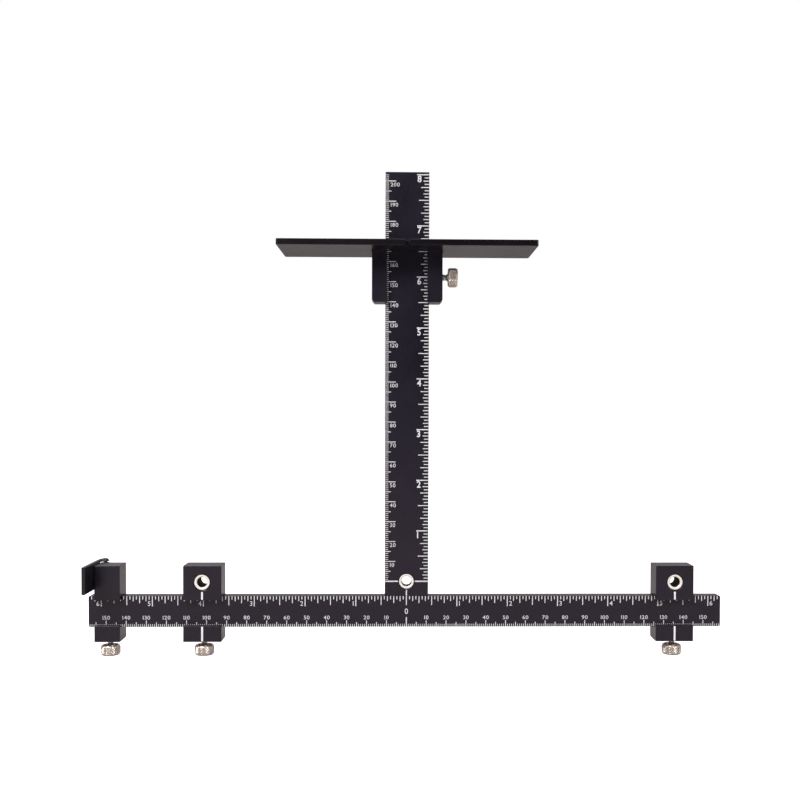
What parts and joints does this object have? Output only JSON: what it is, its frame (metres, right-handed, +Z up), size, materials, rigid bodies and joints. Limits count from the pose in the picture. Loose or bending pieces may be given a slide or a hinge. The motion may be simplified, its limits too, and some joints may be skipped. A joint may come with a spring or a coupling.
{
  "type": "hardware drilling t square",
  "caption": "Inverted T of two scaled rulers with a sliding fence, sliding drill guides with steel bushings, a flip stop and knurled thumb screws, for marking and drilling.",
  "frame": {"origin": "bottom centre of the bounding box: on the centre line of the T, at the level of the lowest thumb screw head", "axes": "+X along the cross ruler to the right as its marked face is read, +Y from the marked face into the thickness, towards the work, +Z up the upright ruler"},
  "size_m": [0.3174, 0.04, 0.2418],
  "materials": {
    "black_anodised": "black anodised, satin",
    "nickel": "satin nickel plate, knurled grip",
    "bushing_steel": "ground hardened steel",
    "black_oxide": "black oxide",
    "nylon": "natural nylon"
  },
  "bodies": {
    "t_frame": {"upright_ruler": "black_anodised", "cross_ruler": "black_anodised", "lap_screw_left": "black_oxide", "lap_screw_right": "black_oxide", "center_bushing": "bushing_steel"},
    "fence": {"fence_plate": "black_anodised", "fence_block": "black_anodised", "fence_screw_left": "black_oxide", "fence_screw_right": "black_oxide"},
    "fence_pad": {"fence_clamp_pad": "nylon"},
    "fence_knob": {"fence_thumb_screw": "nickel"},
    "left_guide": {"left_guide_block": "black_anodised", "left_guide_bushing": "bushing_steel"},
    "left_guide_pad": {"left_guide_clamp_pad": "nylon"},
    "left_guide_knob": {"left_guide_thumb_screw": "nickel"},
    "right_guide": {"right_guide_block": "black_anodised", "right_guide_bushing": "bushing_steel"},
    "right_guide_pad": {"right_guide_clamp_pad": "nylon"},
    "right_guide_knob": {"right_guide_thumb_screw": "nickel"},
    "stop": {"stop_block": "black_anodised", "stop_hinge_pin": "black_oxide"},
    "stop_leaf": {"stop_plate": "black_anodised"},
    "stop_pad": {"stop_clamp_pad": "nylon"},
    "stop_knob": {"stop_thumb_screw": "nickel"}
  },
  "joints": [
    {"name": "fence_slide", "type": "slide", "parent": "t_frame", "child": "fence", "axis": [0, 0, 1], "range_m": [-0.125, 0.032]},
    {"name": "left_guide_slide", "type": "slide", "parent": "t_frame", "child": "left_guide", "axis": [1, 0, 0], "range_m": [-0.018, 0.08]},
    {"name": "right_guide_slide", "type": "slide", "parent": "t_frame", "child": "right_guide", "axis": [1, 0, 0], "range_m": [-0.114, 0.014]},
    {"name": "stop_slide", "type": "slide", "parent": "t_frame", "child": "stop", "axis": [1, 0, 0], "range_m": [-0.003, 0.012]},
    {"name": "stop_flip", "type": "hinge", "parent": "stop", "child": "stop_leaf", "pos_m": [-0.154, 0.00983, 0.04027], "axis": [0, 0, -1], "range_deg": [0, 180]},
    {"name": "left_guide_pad_travel", "type": "slide", "parent": "left_guide", "child": "left_guide_pad", "axis": [0, 0, -1], "range_m": [0, 0.00159]},
    {"name": "left_guide_screw_turn", "type": "hinge", "parent": "left_guide_pad", "child": "left_guide_knob", "pos_m": [-0.1017, 0, 0.00227], "axis": [0, 0, -1], "range_deg": [0, 720]},
    {"name": "right_guide_pad_travel", "type": "slide", "parent": "right_guide", "child": "right_guide_pad", "axis": [0, 0, -1], "range_m": [0, 0.00159]},
    {"name": "right_guide_screw_turn", "type": "hinge", "parent": "right_guide_pad", "child": "right_guide_knob", "pos_m": [0.1349, 0, 0.00227], "axis": [0, 0, -1], "range_deg": [0, 720]},
    {"name": "stop_pad_travel", "type": "slide", "parent": "stop", "child": "stop_pad", "axis": [0, 0, -1], "range_m": [0, 0.00159]},
    {"name": "stop_screw_turn", "type": "hinge", "parent": "stop_pad", "child": "stop_knob", "pos_m": [-0.14875, 0, 0.00227], "axis": [0, 0, -1], "range_deg": [0, 720]},
    {"name": "fence_pad_travel", "type": "slide", "parent": "fence", "child": "fence_pad", "axis": [1, 0, 0], "range_m": [0, 0.00159]},
    {"name": "fence_screw_turn", "type": "hinge", "parent": "fence_pad", "child": "fence_knob", "pos_m": [0.023, 0, 0.18977], "axis": [1, 0, 0], "range_deg": [0, 720]}
  ],
  "couplings": [
    {"joint": "left_guide_screw_turn", "follows": "left_guide_pad_travel", "rad_per_m": 7915.8},
    {"joint": "right_guide_screw_turn", "follows": "right_guide_pad_travel", "rad_per_m": 7915.8},
    {"joint": "stop_screw_turn", "follows": "stop_pad_travel", "rad_per_m": 7915.8},
    {"joint": "fence_screw_turn", "follows": "fence_pad_travel", "rad_per_m": 7915.8}
  ]
}
